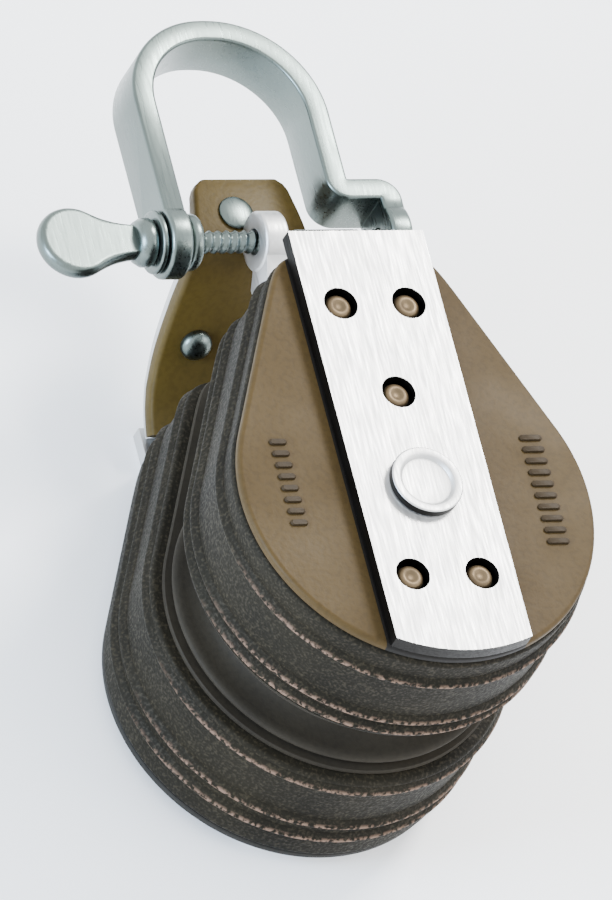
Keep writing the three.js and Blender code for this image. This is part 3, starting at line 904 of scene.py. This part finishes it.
def make_shackle():
    """Flat-bar bow with a jogged right leg, a ridge inside its crown and two eyes."""
    half_t = BAR_T / 2
    left, right = bow_low.x + half_t, bow_high.x - half_t
    crown, ledge, right_leg = bow_high.y - half_t, LEDGE_Y - half_t, RIGHT_LEG_X - half_t
    corners = [(left, PIN_Y, 0), (left, crown, 15.6), (right_leg, crown, 18.4),
               (right_leg, ledge, 2.3), (right, ledge, 2.3), (right, PIN_Y, 0)]
    path = [(p.x, p.y, PIN_Z) for p in filleted(corners, 22)]
    ridge, ridge_from, ridge_full = 0.7, 92.0, 98.0
    sections = []
    for _, y, _ in path:
        section = rounded_rect(half_t, BAR_W / 2, 0.6)
        share = clamped((y - ridge_from) / (ridge_full - ridge_from))
        section.insert(len(section) // 2, (-half_t - ridge * share, 0))
        sections.append(section[::-1])
    bow = sweep("shackle_bow_bar", path, (0, 0, 1), sections)
    eyes = [pin_ring("tool", 1.0, EYE_R, -half_t, half_t, 0.8, x) for x in (left, right)]
    combine(bow, eyes, "UNION")
    bore = placed(plug(PIN_HOLE_R, left - 5, right + 5, 56), ALONG_X, (0, PIN_Y, PIN_Z))
    combine(bow, [bore], "DIFFERENCE")
    dress(bow, POLISHED, "shackle", "polished", "shackle_bow")

    low, high = box_mm("pin_spacer")
    spacer = pin_ring("pin_spacer_ring", PIN_HOLE_R, high.y - PIN_Y, low.x, high.x, 1.1)
    dress(spacer, POLISHED, "shackle", "polished", "pin_spacer")


THREAD_PITCH = 1.8
THREAD_DEPTH = 0.5
TIP = 0.8  # length of the pin's tapered tip


def pin_rod(shoulder, end):
    """Collar, neck and rod of the pin, with a helical thread cut in two lengths of it."""
    sides, fade_over, rings_per_mm = 40, 0.8, 7
    threads = [(-14.0, 6.0), (18.0, end - TIP)]
    stations = [(shoulder - 3.4, 3.0), (shoulder - 3.0, 4.0), (shoulder - 1.8, 4.7),
                (shoulder - 0.5, 4.7), (shoulder - 0.05, 4.4), (shoulder, PIN_R)]
    steps = round((end - TIP - shoulder) * rings_per_mm)
    first, length = shoulder + 0.1, end - TIP - 0.1 - shoulder
    stations += [(first + length * i / steps, PIN_R) for i in range(steps + 1)]
    stations += [(end - 0.3, PIN_R - 0.6), (end, PIN_R - 1.0)]
    rings = []
    for x, radius in stations:
        ring = []
        fade = max(min(1.0, (x - a) / fade_over, (b - x) / fade_over) for a, b in threads)
        for i in range(sides):
            turn = i / sides
            wave = abs(2 * ((x / THREAD_PITCH + turn) % 1.0) - 1)
            r = radius - THREAD_DEPTH * max(0.0, fade) * wave
            ring.append((x, PIN_Y + r * math.cos(TURN * turn), PIN_Z + r * math.sin(TURN * turn)))
        rings.append(ring)
    return closed_rings("screw_pin_and_paddle", rings, looped=False)


def pin_paddle(tip, neck):
    """Flat teardrop paddle with round edges, flared out from the pin's neck."""
    paddle_r, neck_half, half, lean, flare, round_steps = 7.3, 3.1, 1.7, 1.05, 10, 40
    centre = tip + paddle_r
    root = Vector((neck, neck_half))
    start = Vector((centre + paddle_r * math.cos(lean), paddle_r * math.sin(lean)))
    control = start + Vector((math.sin(lean), -math.cos(lean))) * 6.2
    outline = [(neck, neck_half)]
    for i in range(1, flare):
        w = i / flare
        point = root * (1 - w) ** 2 + control * 2 * w * (1 - w) + start * w * w
        outline.append((point.x, point.y))
    outline += arc(centre, 0, paddle_r, lean, TURN - lean, round_steps)
    outline += [(x, -y) for x, y in reversed(outline[:flare])]
    rounding, face_inset = 1.1, 1.5
    angles = (math.pi * (k / 8 - 0.5) for k in range(9))
    edge = [(half * math.sin(a), rounding * (1 - math.cos(a))) for a in angles]
    middle = Vector(((neck + tip) / 2, 0))
    rings = []
    for z, inset in [(-half, face_inset), *edge, (half, face_inset)]:
        ring = []
        for x, y in outline:
            away = Vector((x, y)) - middle
            inward = middle + away * (1 - inset / max(away.length, 4.0))
            ring.append((inward.x, PIN_Y + inward.y, PIN_Z + z))
        rings.append(ring)
    return closed_rings("tool", rings, looped=False)


def make_pin():
    """Screw pin with its paddle, and the washer under its head."""
    low, high = box_mm("pin_washer")
    washer = pin_ring("pin_head_washer", PIN_HOLE_R, 6.0, low.x, high.x, 0.45)
    dress(washer, POLISHED, "pin_carrier", "polished", "pin_washer")

    shoulder = low.x - GAP
    pin = pin_rod(shoulder, pin_high.x)
    combine(pin, [pin_paddle(pin_low.x, shoulder - 1.2)], "UNION")
    dress(pin, POLISHED, "pin", "polished", "screw_pin")


# Stage


def make_stage():
    """Pale floor just under the block, an even sky and three soft lamps."""
    reach, below = 40.0 / MM, 0.05
    corners = ((-1, -1), (1, -1), (1, 1), (-1, 1))
    floor = mesh_object("floor", [(x * reach, y * reach, -below) for x, y in corners],
                        [(0, 1, 2, 3)])
    floor.data.materials.append(plain_grained("pale_floor", (0.98, 0.98, 0.98), 0.8))
    world = bpy.data.worlds.new("studio")
    world.use_nodes = True
    background = world.node_tree.nodes["Background"]
    background.inputs["Color"].default_value = (0.95, 0.975, 1.0, 1)
    background.inputs["Strength"].default_value = 2.6
    bpy.context.scene.world = world
    middle = Vector((0, 0.03, 0.04))
    for name, place, power, size, colour in (
        ("key", (0.6, 0.5, 0.85), 20.0, 0.3, (1.0, 0.985, 0.96)),
        ("fill", (0.75, -0.35, 0.6), 5.0, 0.6, (0.95, 0.97, 1.0)),
        ("rim", (-0.95, -0.1, 0.35), 22.0, 0.4, (0.55, 0.74, 1.0)),
    ):
        lamp = bpy.data.lights.new(name, "AREA")
        lamp.energy = power
        lamp.size = size
        lamp.color = colour
        held = bpy.data.objects.new(name, lamp)
        held.location = middle + Vector(place)
        held.rotation_mode = "QUATERNION"
        held.rotation_quaternion = Vector(place).to_track_quat("Z", "Y")
        bpy.context.scene.collection.objects.link(held)


def make_camera():
    """A long lens, rolled so that the block stands with its head up and to the left."""
    distance = 5.0
    pixels_per_metre = 5385
    image_long_side = 900
    sensor = 36
    right = Vector((0.906, -0.228, 0.356)).normalized()
    up = Vector((0.010, 0.854, 0.521))
    up = (up - right * up.dot(right)).normalized()
    back = right.cross(up)
    front_centre = Vector((0, 0, TOTAL_Z * MM))
    aim = front_centre - right * 0.0219 + up * 0.0065
    data = bpy.data.cameras.new("camera")
    data.sensor_width = sensor
    data.lens = pixels_per_metre * distance / image_long_side * sensor
    data.clip_start = 0.01
    data.clip_end = 200
    camera = bpy.data.objects.new("camera", data)
    turned_to = Matrix((right, up, back)).transposed().to_4x4()
    camera.matrix_world = Matrix.Translation(aim + back * distance) @ turned_to
    bpy.context.scene.collection.objects.link(camera)
    bpy.context.scene.camera = camera


FINISHES = {"stainless": STAINLESS, "polished": POLISHED, "tan_plastic": TAN, "dark_rubber": RUBBER,
            "dark_plastic": DARK_PLASTIC, "bronze": BRONZE, "black_acetal": ACETAL}


def paint_cad_nodes():
    """Gives every CAD node that still shows its slot's material."""
    slots = {row["node"]: row["material_slot"] for row in frame["record"]["subparts"]}
    for name, node in frame["nodes"].items():
        node.data.materials.clear()
        node.data.materials.append(FINISHES[slots[name]])


paint_cad_nodes()
make_camera()
make_stage()
make_cheek("front", 1, "opening_cheek")
make_cheek("rear", -1, "fixed_cheek")
make_ticks("front", plate_high.z, 1, "opening_cheek", TICK_TAN_PAINTED_SHADE, "tan_plastic")
make_ticks("rear", rear_plate_low.z, -1, "fixed_cheek", DARK_PLASTIC, "dark_plastic")
make_front_strap()
make_head()
make_lug()
make_small_fasteners()
make_strap_rivets("front", 1, "opening_cheek")
make_strap_rivets("rear", -1, "fixed_cheek")
make_axle()
make_sheave()
make_shackle()
make_pin()
